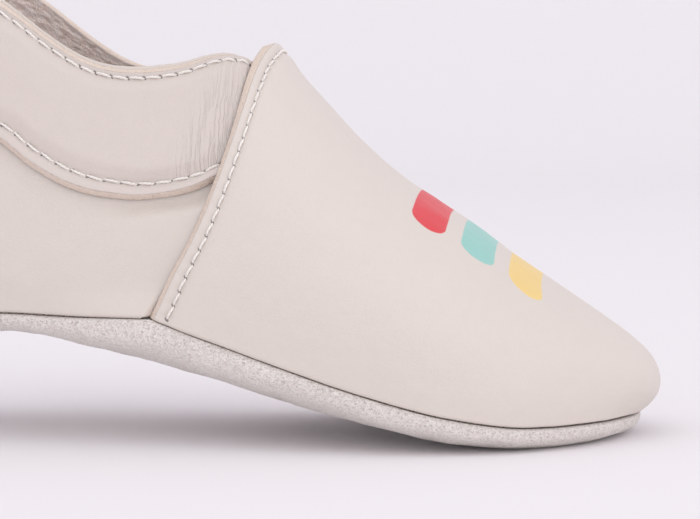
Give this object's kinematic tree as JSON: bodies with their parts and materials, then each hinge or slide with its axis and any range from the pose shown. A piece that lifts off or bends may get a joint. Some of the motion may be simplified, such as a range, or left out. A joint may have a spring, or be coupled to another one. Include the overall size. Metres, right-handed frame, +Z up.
{
  "type": "soft-sole baby bootie",
  "caption": "Soft-sole slip-on baby bootie: a leather vamp over a stitched quarter with an elastic collar band and a padded suede sole.",
  "frame": {"origin": "at ground level under the middle of the bounding box", "axes": "+X towards the toe, -Y the outer (lateral) side of this right-foot bootie, +Z up"},
  "size_m": [0.1302, 0.0566, 0.0762],
  "materials": {
    "vamp_leather": "smooth soft nappa leather, pale pinkish beige, with three plain printed bars across the toe",
    "quarter_leather": "smooth soft nappa leather, pale beige; the inside is its suede flesh side",
    "band_leather": "soft nappa leather, finely creased where it is gathered, with raw cream cut edges",
    "elastic": "woven elastic tape",
    "thread": "off-white twisted polyester thread",
    "sole_suede": "napped suede leather, pale grey beige, fine fibrous grain",
    "padding": "soft open padding",
    "insole_suede": "brushed suede"
  },
  "bodies": {
    "forefoot": {"vamp": "vamp_leather", "vamp_edge_thread": "thread", "outsole_forefoot": "sole_suede", "padding_forefoot": "padding", "insole_forefoot": "insole_suede", "sole_seam_thread_forefoot": "thread"},
    "heel": {"quarter": "quarter_leather", "collar_band": "band_leather", "collar_elastic": "elastic", "collar_top_thread": "thread", "collar_lower_thread": "thread", "outsole_heel": "sole_suede", "padding_heel": "padding", "insole_heel": "insole_suede", "sole_seam_thread_heel": "thread"}
  },
  "joints": [
    {"name": "waist_flex", "type": "hinge", "parent": "forefoot", "child": "heel", "pos_m": [-0.0095, 0, 0.011], "axis": [0, 1, 0], "range_deg": [-11.5, 0], "stiffness_Nm_per_rad": 0.3}
  ]
}
